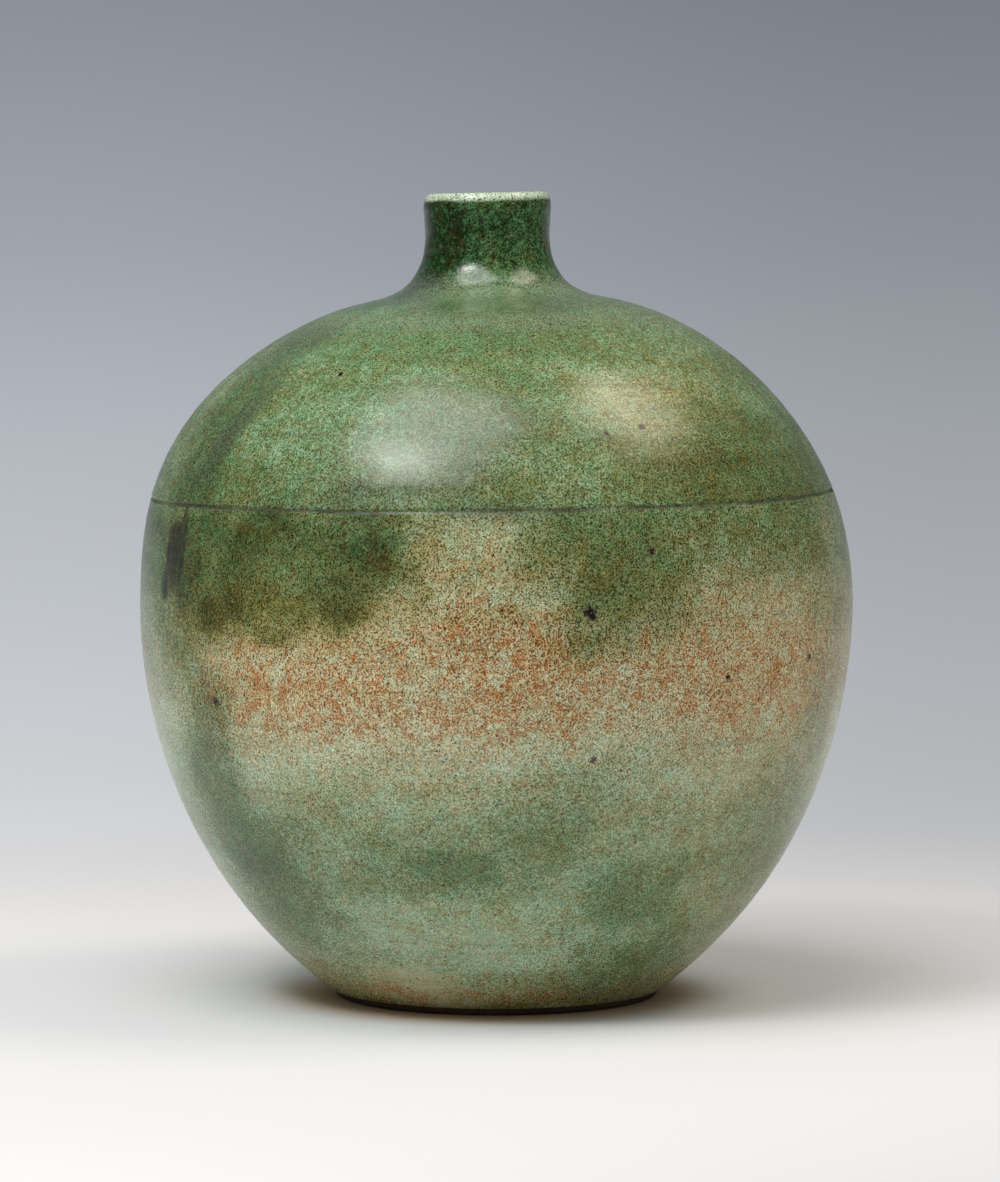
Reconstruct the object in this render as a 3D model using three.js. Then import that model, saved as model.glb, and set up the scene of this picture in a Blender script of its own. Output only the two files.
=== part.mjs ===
// A globular vase with a short neck, thrown on the wheel in separate pieces of clay that are luted
// together with slip, dipped in glaze and fired. Millimetres, +Z up, the foot stands on z = 0, and
// the axis of the foot is the Z axis. Each outline is a list of [radius, height] points.

import * as THREE from "three";
import { mergeVertices } from "three/addons/utils/BufferGeometryUtils.js";

// Driving dimensions of the glazed outside
const HEIGHT = 240;
const BELLY_RADIUS = 106.6;
const BELLY_HEIGHT = 117;
const SEAM_RADIUS = 101.85;
const SEAM_HEIGHT = 150.8;
const NECK_ROOT_RADIUS = 33;
const NECK_ROOT_HEIGHT = 208.8;
const WAIST_RADIUS = 18.5;
const WAIST_HEIGHT = 227;
const LIP_RADIUS = 18.9;
const LIP_EDGE_HEIGHT = 235.5;
const CROWN_RADIUS = 16.9;
const GLAZE_EDGE_RADIUS = 49.8;
const GLAZE_EDGE_HEIGHT = 2.2;

// Thicknesses
const GLAZE = 0.5;
const SHOULDER_WALL = 6.3;
const NECK_ROOT_WALL = 5.4;
const BORE_RADIUS = 14.9;
const FLOOR_TOP = 12;
const FLOOR_RADIUS = 36;
const SLIP_HALF = 0.4;

// How far up the bore its straight part begins and ends, and where the bore opens into the dome
const BORE_TOP = 236;
const BORE_BOTTOM = 221;
const BORE_MOUTH = [27.5, 204];

// The two handles that bend each stretch of the outline between its ends
const BOWL_SWELL = [[102.8, 41.9], [BELLY_RADIUS, 100.8]];
const BOWL_RIM_TURN = [[BELLY_RADIUS, 135], [103.3, 146.3]];
const DOME_ARCH = [[90.6, 184.9], [56.5, 205]];
const NECK_FLARE = [[22.6, 210.5], [WAIST_RADIUS, 218.7]];
const COLLAR_LEAN = [[WAIST_RADIUS, 231], [LIP_RADIUS, 233]];
const LIP_ROUND = [[LIP_RADIUS, 238.3], [18.2, HEIGHT]];
const LIP_INSIDE_ROUND = [[15.6, HEIGHT], [BORE_RADIUS - GLAZE, 238.8]];
const BORE_BELL = [[BORE_RADIUS - GLAZE, 212], [20.5, 205.8]];
const BOWL_INSIDE_SWELL = [[76, 16], [BELLY_RADIUS - SHOULDER_WALL, 75]];

// How many steps each stretch is drawn in
const STEPS = { bowl: 9, rim: 3, dome: 9, flare: 6, collar: 2, lip: 3, lipInside: 2, bore: 4, inside: 8 };

// Foot ring, and the recess turned out of the base inside it
const FOOT_TOP = 2;
const FOOT_SEAT = 2.6;
const FOOT_OUTER_RADIUS = 48.8;
const BEARING_OUTER_RADIUS = 47.4;
const BEARING_INNER_RADIUS = 41.8;
const FOOT_INNER_RADIUS = 40.5;
const FOOT_OUTER_BEVEL = [48.3, 0.9];
const FOOT_INNER_BEVEL = [41.2, 0.6];
const RECESS_RADIUS = 37.5;
const RECESS_HEIGHT = 5.5;
const RECESS_EDGE_RADIUS = 40;
const RECESS_EDGE_HEIGHT = 3.2;
const BASE_GLAZE_BEND = 0.2;
const BASE_GLAZE_LIP = 0.4;

// Groove left where the shoulder meets the bowl
const GROOVE_HALF_WIDTH = 0.8;
const GROOVE_DEPTH = 0.45;
const CLAY_GROOVE_DEPTH = 1.4;

// Joints: how far a bevelled rim rises inwards, and the bead of slip pressed along it inside, which
// reaches below and above the joint and is thickest up to its crest
const BEVEL_RISE = 1.6;
const BEAD_THICKNESS = 1.5;
const BEAD_BELOW = 2;
const BEAD_CREST = 3.2;
const BEAD_ABOVE = 5.2;
const NECK_BEAD_BELOW = 2.2;
const NECK_BEAD_TOP = [29.2, 203.85];
const NECK_BEAD_BULGE = [[30.4, 202.4], [33, 201.9]];

// What the wheel and the kiln did to the shape: above the belly the axis leans over along X, and
// the level lines climb towards +X, most of all the lip
const DRIFT = -2.7;
const DRIFT_TOP = 185;
const LIP_SLOPE = 0.02;

const SEGMENTS = 48;

const GLAZE_GREEN = "#6f7f52";
const GLAZE_PALE = "#b9c4a6";
const CLAY_FIRED = "#b79f80";
const SLIP_FIRED = "#c4b196";
const CLAY_ROUGHNESS = 0.85;
const GLAZE_ROUGHNESS = 0.3;

// Points closer than this are one point
const WELD_DISTANCE = 1e-4;

// One stretch of the outside, with its points and outward normals at even steps along it
function stretch(from, [handle1, handle2], to, steps) {
  const curve = new THREE.CubicBezierCurve(
    new THREE.Vector2(...from),
    new THREE.Vector2(...handle1),
    new THREE.Vector2(...handle2),
    new THREE.Vector2(...to),
  );
  const stations = [];
  for (let i = 0; i <= steps; i++) {
    const point = curve.getPointAt(i / steps);
    const along = curve.getTangentAt(i / steps);
    stations.push({ point: [point.x, point.y], along: [along.x, along.y] });
  }
  return stations;
}

// The point of a station moved in from the surface by depth, and along the surface by slide
function inset({ point, along }, depth, slide = 0) {
  const outward = [along[1], -along[0]];
  return [
    point[0] - outward[0] * depth + along[0] * slide,
    point[1] - outward[1] * depth + along[1] * slide,
  ];
}

const glazeEdge = [GLAZE_EDGE_RADIUS, GLAZE_EDGE_HEIGHT];
const bellyPoint = [BELLY_RADIUS, BELLY_HEIGHT];
const seamPoint = [SEAM_RADIUS, SEAM_HEIGHT];
const neckRootPoint = [NECK_ROOT_RADIUS, NECK_ROOT_HEIGHT];
const waistPoint = [WAIST_RADIUS, WAIST_HEIGHT];
const lipEdge = [LIP_RADIUS, LIP_EDGE_HEIGHT];
const crown = [CROWN_RADIUS, HEIGHT];
const boreTop = [BORE_RADIUS - GLAZE, BORE_TOP];
const boreBottom = [BORE_RADIUS - GLAZE, BORE_BOTTOM];

const bowlWall = stretch(glazeEdge, BOWL_SWELL, bellyPoint, STEPS.bowl);
const bowlRim = stretch(bellyPoint, BOWL_RIM_TURN, seamPoint, STEPS.rim);
const dome = stretch(seamPoint, DOME_ARCH, neckRootPoint, STEPS.dome);
const flare = stretch(neckRootPoint, NECK_FLARE, waistPoint, STEPS.flare);
const collar = stretch(waistPoint, COLLAR_LEAN, lipEdge, STEPS.collar);
const lip = stretch(lipEdge, LIP_ROUND, crown, STEPS.lip);
const insideOfLip = stretch(crown, LIP_INSIDE_ROUND, boreTop, STEPS.lipInside);
const bore = stretch(boreBottom, BORE_BELL, BORE_MOUTH, STEPS.bore);

const seam = dome[0];
const neckRoot = flare[0];

// The clay surface under the glaze, from the foot to the seam, to the neck root and to the crown
const bowlStations = [...bowlWall, ...bowlRim.slice(1, -1)];
const bowlSkin = bowlStations.map((s) => inset(s, GLAZE));
const domeSkin = dome.slice(1, -1).map((s) => inset(s, GLAZE));
const neckStations = [...flare.slice(1), ...collar.slice(1), ...lip.slice(1)];
const neckSkin = neckStations.map((s) => inset(s, GLAZE));
const boreSkin = [...insideOfLip, ...bore].map((s) => inset(s, GLAZE));

// The seam: both rims are bevelled to rise inwards, so that the shoulder sits over the bowl
const bowlGroove = [
  inset(seam, GLAZE, -GROOVE_HALF_WIDTH),
  inset(seam, CLAY_GROOVE_DEPTH, -SLIP_HALF),
];
const domeGroove = [
  inset(seam, CLAY_GROOVE_DEPTH, SLIP_HALF),
  inset(seam, GLAZE, GROOVE_HALF_WIDTH),
];
const bowlRimInside = inset(seam, SHOULDER_WALL, BEVEL_RISE - SLIP_HALF);
const domeRimInside = inset(seam, SHOULDER_WALL, BEVEL_RISE + SLIP_HALF);
const beadFoot = inset(seam, SHOULDER_WALL, -BEAD_BELOW);
const beadTop = inset(seam, SHOULDER_WALL, BEAD_ABOVE);

// The neck root: the same joint without a bevel
const domeTop = [inset(neckRoot, GLAZE, -SLIP_HALF), inset(neckRoot, NECK_ROOT_WALL, -SLIP_HALF)];
const neckFoot = [inset(neckRoot, GLAZE, SLIP_HALF), inset(neckRoot, NECK_ROOT_WALL, SLIP_HALF)];
const neckBeadFoot = inset(neckRoot, NECK_ROOT_WALL, -NECK_BEAD_BELOW);

// The inside of the bowl, from the seam down to the flat floor
const bowlInside = bowlRim
  .slice(0, -1)
  .map((s) => inset(s, SHOULDER_WALL))
  .reverse();
const bowlInsideLower = stretch(
  [FLOOR_RADIUS, FLOOR_TOP],
  BOWL_INSIDE_SWELL,
  [BELLY_RADIUS - SHOULDER_WALL, BELLY_HEIGHT],
  STEPS.inside,
)
  .map((s) => s.point)
  .slice(0, -1)
  .reverse();

// The inside of the dome, whose wall thins evenly towards the neck
const domeInside = dome
  .slice(1, -1)
  .map((s, i) => {
    const share = (i + 1) / (dome.length - 1);
    return inset(s, SHOULDER_WALL + (NECK_ROOT_WALL - SHOULDER_WALL) * share);
  })
  .reverse();

// The underside of the bowl inside the foot ring
const baseRecess = [
  [0, RECESS_HEIGHT],
  [RECESS_RADIUS, RECESS_HEIGHT],
  [RECESS_EDGE_RADIUS, RECESS_EDGE_HEIGHT],
];

// Where a point of the true turned shape ended up on the finished vase
function settled(x, y, height) {
  const drift = DRIFT * THREE.MathUtils.smoothstep(height, BELLY_HEIGHT, DRIFT_TOP);
  const slope = (LIP_SLOPE * height) / HEIGHT;
  return [x + drift, y, height + slope * x];
}

// A piece turned on the wheel, from its closed outline, which runs up the outside and down the
// inside. Neighbours share the points of the wall between them. Each facet is split along the
// diagonal that climbs the same way round, so both sides of such a wall are one set of triangles.
function turned(name, outline, color, roughness) {
  const onAxis = outline[0][0] === 0;
  const loop = onAxis ? outline : [...outline, outline[0]];
  const points = loop.map(([radius, height]) => new THREE.Vector2(radius, height));
  const geometry = new THREE.LatheGeometry(points, SEGMENTS);
  geometry.rotateX(Math.PI / 2);
  const faces = [];
  for (let i = 0; i < SEGMENTS; i++) {
    for (let j = 0; j < loop.length - 1; j++) {
      const here = i * loop.length + j;
      const next = here + loop.length;
      const climbs = loop[j + 1][1] >= loop[j][1];
      const triangles = climbs
        ? [[here, next, here + 1], [next + 1, here + 1, next]]
        : [[here, next, next + 1], [here, next + 1, here + 1]];
      const lowOnAxis = loop[j][0] === 0;
      const highOnAxis = loop[j + 1][0] === 0;
      if (lowOnAxis) faces.push(here, next + 1, here + 1);
      else if (highOnAxis) faces.push(here, next, here + 1);
      else faces.push(...triangles.flat());
    }
  }
  geometry.setIndex(faces);
  geometry.deleteAttribute("normal");
  geometry.deleteAttribute("uv");
  const position = geometry.getAttribute("position");
  for (let k = 0; k < position.count; k++) {
    position.setXYZ(k, ...settled(position.getX(k), position.getY(k), position.getZ(k)));
  }
  const closed = mergeVertices(geometry, WELD_DISTANCE);
  closed.computeVertexNormals();
  const material = new THREE.MeshStandardMaterial({ color, roughness, metalness: 0 });
  const mesh = new THREE.Mesh(closed, material);
  mesh.name = name;
  return mesh;
}

// Foot ring: bare clay, bevelled outside and in, standing on a flat bearing face
function footRing() {
  const outline = [
    [BEARING_INNER_RADIUS, 0],
    [BEARING_OUTER_RADIUS, 0],
    FOOT_OUTER_BEVEL,
    [FOOT_OUTER_RADIUS, FOOT_TOP],
    [FOOT_INNER_RADIUS, FOOT_TOP],
    FOOT_INNER_BEVEL,
  ];
  return turned("foot_ring", outline, CLAY_FIRED, CLAY_ROUGHNESS);
}

// Slip that joins the foot ring to the bowl
function footLuting() {
  const outline = [
    [FOOT_INNER_RADIUS, FOOT_TOP],
    [FOOT_OUTER_RADIUS, FOOT_TOP],
    [bowlSkin[0][0], FOOT_SEAT],
    [FOOT_INNER_RADIUS, FOOT_SEAT],
  ];
  return turned("foot_luting_slip", outline, SLIP_FIRED, CLAY_ROUGHNESS);
}

// Bowl: the lower two thirds of the body, thrown with a flat floor
function lowerBowl() {
  const outline = [
    ...baseRecess,
    [FOOT_INNER_RADIUS, FOOT_SEAT],
    [bowlSkin[0][0], FOOT_SEAT],
    ...bowlSkin.slice(1),
    ...bowlGroove,
    bowlRimInside,
    beadFoot,
    ...bowlInside,
    ...bowlInsideLower,
    [0, FLOOR_TOP],
  ];
  return turned("lower_bowl", outline, CLAY_FIRED, CLAY_ROUGHNESS);
}

// Slip in the seam, with the bead that is pressed along it inside
function shoulderLuting() {
  const outline = [
    bowlGroove[1],
    domeGroove[0],
    domeRimInside,
    beadTop,
    inset(seam, SHOULDER_WALL + BEAD_THICKNESS, BEAD_CREST),
    inset(seam, SHOULDER_WALL + BEAD_THICKNESS),
    beadFoot,
    bowlRimInside,
  ];
  return turned("shoulder_luting_slip", outline, SLIP_FIRED, CLAY_ROUGHNESS);
}

// Dome: the shoulder, thrown as a bowl and turned over
function shoulderDome() {
  const outline = [
    ...domeGroove,
    ...domeSkin,
    ...domeTop,
    neckBeadFoot,
    ...domeInside,
    beadTop,
    domeRimInside,
  ];
  return turned("shoulder_dome", outline, CLAY_FIRED, CLAY_ROUGHNESS);
}

// Slip in the joint at the neck root, with its bead
function neckLuting() {
  const outline = [
    domeTop[0],
    neckFoot[0],
    neckFoot[1],
    NECK_BEAD_TOP,
    ...NECK_BEAD_BULGE,
    neckBeadFoot,
    domeTop[1],
  ];
  return turned("neck_luting_slip", outline, SLIP_FIRED, CLAY_ROUGHNESS);
}

// Neck: a short flared collar with a rounded lip
function neckCollar() {
  const outline = [
    neckFoot[0],
    ...neckSkin,
    ...boreSkin.slice(1),
    NECK_BEAD_TOP,
    neckFoot[1],
  ];
  return turned("neck_collar", outline, CLAY_FIRED, CLAY_ROUGHNESS);
}

// Glaze over the outside, wiped off just above the foot and sunk into the groove at the seam
function outerGlaze() {
  const surface = [
    ...bowlStations.map((s) => s.point),
    inset(seam, 0, -GROOVE_HALF_WIDTH),
    inset(seam, GROOVE_DEPTH),
    inset(seam, 0, GROOVE_HALF_WIDTH),
    ...[...dome.slice(1), ...neckStations].map((s) => s.point),
  ];
  const clay = [
    [bowlSkin[0][0], FOOT_SEAT],
    ...bowlSkin.slice(1),
    ...bowlGroove,
    ...domeGroove,
    ...domeSkin,
    domeTop[0],
    neckFoot[0],
    ...neckSkin,
  ];
  return turned("outer_glaze", [...surface, ...clay.reverse()], GLAZE_GREEN, GLAZE_ROUGHNESS);
}

// Glaze that ran over the lip and down the bore
function mouthGlaze() {
  const surface = [...insideOfLip, ...bore.slice(1)].map((s) => s.point);
  const clay = [...boreSkin].reverse();
  return turned("mouth_glaze", [...clay, ...surface], GLAZE_PALE, GLAZE_ROUGHNESS);
}

// Glaze on the base inside the foot ring
function baseGlaze() {
  const surface = [
    [0, RECESS_HEIGHT - GLAZE],
    [RECESS_RADIUS - BASE_GLAZE_BEND, RECESS_HEIGHT - GLAZE],
    [RECESS_EDGE_RADIUS - BASE_GLAZE_LIP, RECESS_EDGE_HEIGHT - BASE_GLAZE_LIP],
  ];
  const clay = [...baseRecess].reverse();
  return turned("base_glaze", [...surface, ...clay], GLAZE_GREEN, GLAZE_ROUGHNESS);
}

const vase = new THREE.Group();
vase.name = "ceramic_vase";
vase.add(
  footRing(),
  footLuting(),
  lowerBowl(),
  shoulderLuting(),
  shoulderDome(),
  neckLuting(),
  neckCollar(),
  outerGlaze(),
  mouthGlaze(),
  baseGlaze(),
);

export default vase;
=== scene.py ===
import itertools
import math

import bpy
import numpy as np
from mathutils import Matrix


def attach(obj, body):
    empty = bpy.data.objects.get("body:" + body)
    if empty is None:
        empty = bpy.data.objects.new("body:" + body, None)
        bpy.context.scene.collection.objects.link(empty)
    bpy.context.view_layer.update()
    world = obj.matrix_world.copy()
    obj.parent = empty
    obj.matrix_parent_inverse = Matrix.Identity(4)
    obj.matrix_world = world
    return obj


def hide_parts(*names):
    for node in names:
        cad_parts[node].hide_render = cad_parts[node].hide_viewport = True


# Looks of a hand-thrown globular vase: buff stoneware under a mottled copper-green glaze.
# Lengths are in millimetres until the meshes are made, azimuths in degrees. Azimuth 0 is the side
# that faces the camera (-Y), and it grows towards +X.
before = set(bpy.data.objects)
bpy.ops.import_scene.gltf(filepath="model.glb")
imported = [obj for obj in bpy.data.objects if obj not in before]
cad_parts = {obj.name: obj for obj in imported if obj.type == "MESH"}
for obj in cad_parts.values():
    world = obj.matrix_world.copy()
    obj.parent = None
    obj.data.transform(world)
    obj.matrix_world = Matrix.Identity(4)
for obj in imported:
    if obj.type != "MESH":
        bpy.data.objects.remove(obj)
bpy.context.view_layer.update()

MM = 0.001
BODY = "root"

# Driving dimensions of the glazed outside
HEIGHT = 240.0
BELLY_RADIUS, BELLY_HEIGHT = 106.6, 117.0
SEAM_RADIUS, SEAM_HEIGHT = 101.85, 150.8
NECK_ROOT_RADIUS, NECK_ROOT_HEIGHT = 33.0, 208.8
WAIST_RADIUS, WAIST_HEIGHT = 18.5, 227.0
LIP_RADIUS, LIP_EDGE_HEIGHT = 18.9, 235.5
CROWN_RADIUS = 16.9
GLAZE_EDGE_RADIUS, GLAZE_EDGE_HEIGHT = 49.8, 2.2
GLAZE = 0.5

# Bezier handles of the outside, from the foot up: a place, or a height or radius alone
BOWL_SPREAD = (102.8, 41.9)
BELLY_BELOW, BELLY_ABOVE = 100.8, 135
SEAM_BELOW, SEAM_ABOVE = (103.3, 146.3), (90.6, 184.9)
NECK_ROOT_BELOW, NECK_ROOT_ABOVE = (56.5, 205), (22.6, 210.5)
WAIST_BELOW, WAIST_ABOVE = 218.7, 231
LIP_BELOW, LIP_ABOVE = 233, 238.3
CROWN_OUTWARD, CROWN_INWARD = 18.2, 15.6

# Glazed bore of the neck: its straight stretch, the handles on it, and the flare under it
BORE_RADIUS = 14.9 - GLAZE
BORE_TOP, BORE_BOTTOM = 236, 221
BORE_HANDLES = (238.8, 231, 226, 212)
FLARE_HANDLE, FLARE_END = (20.5, 205.8), (27.5, 204)

# Foot ring, and the recess turned out of the base inside it
FOOT_TOP = 2.0
FOOT_OUTER_RADIUS, FOOT_INNER_RADIUS = 48.8, 40.5
BEARING_OUTER_RADIUS, BEARING_INNER_RADIUS = 47.4, 41.8
FOOT_SOFT_OUTSIDE = [(48.0, 0.25), (48.45, 0.8)]
FOOT_SOFT_INSIDE = [(40.9, 1.2), (41.3, 0.4)]
RECESS_RADIUS, RECESS_HEIGHT = 37.5, 5.5
RECESS_EDGE_RADIUS, RECESS_EDGE_HEIGHT = 40.0, 3.2
RECESS_INSET, RECESS_EDGE_INSET, RECESS_FLAT_INSET = 0.2, 0.4, 2

# How the shape settled on the wheel and in the kiln
DRIFT, DRIFT_TOP = -2.7, 185.0
LIP_SLOPE = 0.02

# Fineness of the meshes
CURVE_STEPS = 300
SEGMENTS, INNER_SEGMENTS, FOOT_SEGMENTS = 384, 160, 240
BORE_ROWS, RECESS_ROWS = 60, 12
SHARP_ANGLE = 38

# Spacing of the outer glaze's rows along its outline, from the foot to the lip
FOOT_STRIP, FOOT_STEP = 6, 0.8
BOWL_STEP, DOME_STEP = 2.05, 1.95
SEAM_STRIP, SEAM_STEP = 2.6, 0.18
NECK_LEAD, NECK_STEP = 6, 0.95
LIP_ROWS = 12
# Rows on its clay side: down the neck, down the flare to this far under its root, and the rest
FLARE_LEAD = 12
BACK_NECK_ROWS, BACK_FLARE_ROWS, BACK_BODY_ROWS = 6, 18, 15

# Seeded noises: size of a lump in mm along x, y and z, and the seed
WIDE = (46, 46, 26), 11
MEDIUM = (17, 17, 9), 12
LEVEL_STREAK = (60, 60, 4.5), 13
SEAM_WANDER = (19, 19, 400), 71
SEAM_FADE = (7, 7, 400), 72
LIP_WANDER = (9, 9, 400), 73
SEAM_SHADE_LUMPS = (20, 20, 400), 74
BODY_LUMPS = (55, 55, 40), 81
SKIN_LUMPS = (14, 14, 9), 82
RING_WANDER = (60, 60, 60), 83
BASE_LUMPS = (12, 12, 12), 91
FIRST_PATCH_SEED = 100
NOISE_SIDE, NOISE_SHIFT = 32, 1000.0

# Relief of the outside in mm: lumps, throwing rings, and the bead and dip at the neck's root
BODY_LUMP, SKIN_LUMP = 0.22, 0.05
RING_DEPTH, RING_SHIFT, RING_SPACING = 0.035, 1.4, 6.5
ROOT_BEAD, ROOT_BEAD_HEIGHT, ROOT_BEAD_WIDTH = 0.10, 210.5, 1.2
ROOT_DIP, ROOT_DIP_HEIGHT, ROOT_DIP_WIDTH = 0.12, 208.0, 1.0
# Height over which the relief grows from the glaze's edge, and how far under the top it has
# ended and is still full
RELIEF_START, RELIEF_END, RELIEF_FULL = 6, 0.2, 5
# Round the belly it is sunk and calmed, so that the coat stays inside the CAD's box
BELLY_REACH, BELLY_FULL = 34, 4
BELLY_SINK, BELLY_CALM = 0.12, 0.8
BASE_RELIEF = 0.15

# Seam groove, and the slight swelling over it
GROOVE_DEPTH, GROOVE_HALF_WIDTH = 0.17, 0.5
SWELL, SWELL_START, SWELL_END = 0.06, (0.1, 0.9), (7, 1)
SEAM_WOBBLE = 0.3


def linear(hex_colour):
    """An sRGB hex colour as linear RGBA."""
    channels = [int(hex_colour[i:i + 2], 16) / 255 for i in (1, 3, 5)]
    return [c / 12.92 if c <= 0.04045 else ((c + 0.055) / 1.055) ** 2.4 for c in channels] + [1.0]


def smooth(value, low, high):
    """0 below low, 1 above high, and a smooth climb between them. It falls where low is over high."""
    t = np.clip((value - low) / (high - low), 0, 1)
    return t * t * (3 - 2 * t)


def settled(x, y, height):
    """Where a point of the true turned shape ended up on the finished vase."""
    drift = DRIFT * smooth(height, BELLY_HEIGHT, DRIFT_TOP)
    return x + drift, y, height + LIP_SLOPE * height / HEIGHT * x


def curve(start, handle1, handle2, end):
    """Points [radius, height] along one Bezier stretch."""
    t = np.linspace(0, 1, CURVE_STEPS + 1)[:, None]
    p0, p1, p2, p3 = (np.array(p, float) for p in (start, handle1, handle2, end))
    return (1 - t) ** 3 * p0 + 3 * (1 - t) ** 2 * t * p1 + 3 * (1 - t) * t ** 2 * p2 + t ** 3 * p3


class Line:
    """A line [radius, height] measured along its length, with its outward side to the right."""

    def __init__(self, *stretches):
        points = np.concatenate([stretches[0]] + [s[1:] for s in stretches[1:]])
        self.points = points
        steps = np.linalg.norm(np.diff(points, axis=0), axis=1)
        self.arcs = np.concatenate([[0], np.cumsum(steps)])
        along = np.gradient(points, self.arcs, axis=0)
        along /= np.linalg.norm(along, axis=1)[:, None]
        self.outward = np.stack([along[:, 1], -along[:, 0]], axis=1)
        self.length = self.arcs[-1]

    def at(self, arcs, depth=0.0):
        """Points at these arc lengths, sunk by depth under the surface."""
        point = np.stack([np.interp(arcs, self.arcs, self.points[:, i]) for i in (0, 1)], axis=-1)
        out = np.stack([np.interp(arcs, self.arcs, self.outward[:, i]) for i in (0, 1)], axis=-1)
        return point - out * np.asarray(depth)[..., None]

    def arc_at(self, height):
        return float(np.interp(height, self.points[:, 1], self.arcs))


BELLY = (BELLY_RADIUS, BELLY_HEIGHT)
SEAM = (SEAM_RADIUS, SEAM_HEIGHT)
NECK_ROOT = (NECK_ROOT_RADIUS, NECK_ROOT_HEIGHT)
WAIST = (WAIST_RADIUS, WAIST_HEIGHT)
LIP = (LIP_RADIUS, LIP_EDGE_HEIGHT)
CROWN = (CROWN_RADIUS, HEIGHT)

outside = Line(
    curve((GLAZE_EDGE_RADIUS, GLAZE_EDGE_HEIGHT), BOWL_SPREAD, (BELLY_RADIUS, BELLY_BELOW), BELLY),
    curve(BELLY, (BELLY_RADIUS, BELLY_ABOVE), SEAM_BELOW, SEAM),
    curve(SEAM, SEAM_ABOVE, NECK_ROOT_BELOW, NECK_ROOT),
    curve(NECK_ROOT, NECK_ROOT_ABOVE, (WAIST_RADIUS, WAIST_BELOW), WAIST),
    curve(WAIST, (WAIST_RADIUS, WAIST_ABOVE), (LIP_RADIUS, LIP_BELOW), LIP),
    curve(LIP, (LIP_RADIUS, LIP_ABOVE), (CROWN_OUTWARD, HEIGHT), CROWN),
)
straight = [(BORE_RADIUS, height) for height in (BORE_TOP, *BORE_HANDLES[1:3], BORE_BOTTOM)]
bore = Line(
    curve(CROWN, (CROWN_INWARD, HEIGHT), (BORE_RADIUS, BORE_HANDLES[0]), straight[0]),
    curve(*straight),
    curve(straight[-1], (BORE_RADIUS, BORE_HANDLES[3]), FLARE_HANDLE, FLARE_END),
)
SEAM_ARC = outside.arc_at(SEAM_HEIGHT)
NECK_ROOT_ARC = outside.arc_at(NECK_ROOT_HEIGHT)
LIP_ARC = outside.arc_at(LIP_EDGE_HEIGHT)


def noise(points, size, seed):
    """Seeded smooth noise from -1 to 1, whose lumps are about size mm across."""
    lattice = np.random.default_rng(seed).uniform(-1, 1, (NOISE_SIDE, NOISE_SIDE, NOISE_SIDE))
    scaled = points / np.asarray(size, float) + NOISE_SHIFT
    cell = np.floor(scaled).astype(int)
    part = scaled - cell
    part = part * part * (3 - 2 * part)
    total = np.zeros(points.shape[:-1])
    for corner in itertools.product((0, 1), repeat=3):
        weight = np.prod(np.where(corner, part, 1 - part), axis=-1)
        i, j, k = np.moveaxis((cell + corner) % NOISE_SIDE, -1, 0)
        total += weight * lattice[i, j, k]
    return total


class Place:
    """Where each vertex of a turned sheet lies: rows run along the outline, columns round it."""

    def __init__(self, outline, segments=SEGMENTS):
        self.outline = np.asarray(outline, float)
        turn = np.arange(segments) * 360.0 / segments - 180.0
        self.azimuth, self.height = np.meshgrid(turn, self.outline[:, 1])
        self.radius = np.repeat(self.outline[:, :1], segments, axis=1)
        angle = np.radians(self.azimuth)
        self.points = np.stack(
            [self.radius * np.sin(angle), -self.radius * np.cos(angle), self.height], axis=-1)

    def across(self, azimuth):
        """Distance round the vase from an azimuth, in mm, positive towards +X."""
        turn = (self.azimuth - azimuth + 180.0) % 360.0 - 180.0
        return np.radians(turn) * self.radius

    def blot(self, azimuth, height, width, tall, edge, fray, lumps, seed, lean):
        """A soft blot, width by tall mm, whose outline is frayed by noise."""
        up = self.height - height
        over = self.across(azimuth) - lean * up
        reach = (np.abs(over / (width / 2)) ** 3 + np.abs(up / (tall / 2)) ** 3) ** (1 / 3)
        reach = reach + fray * noise(self.points, lumps, seed)
        return smooth(reach, 1 + edge, 1 - edge)


def linked(name, data):
    """A new object of the scene."""
    made = bpy.data.objects.new(name, data)
    bpy.context.scene.collection.objects.link(made)
    return made


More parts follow.
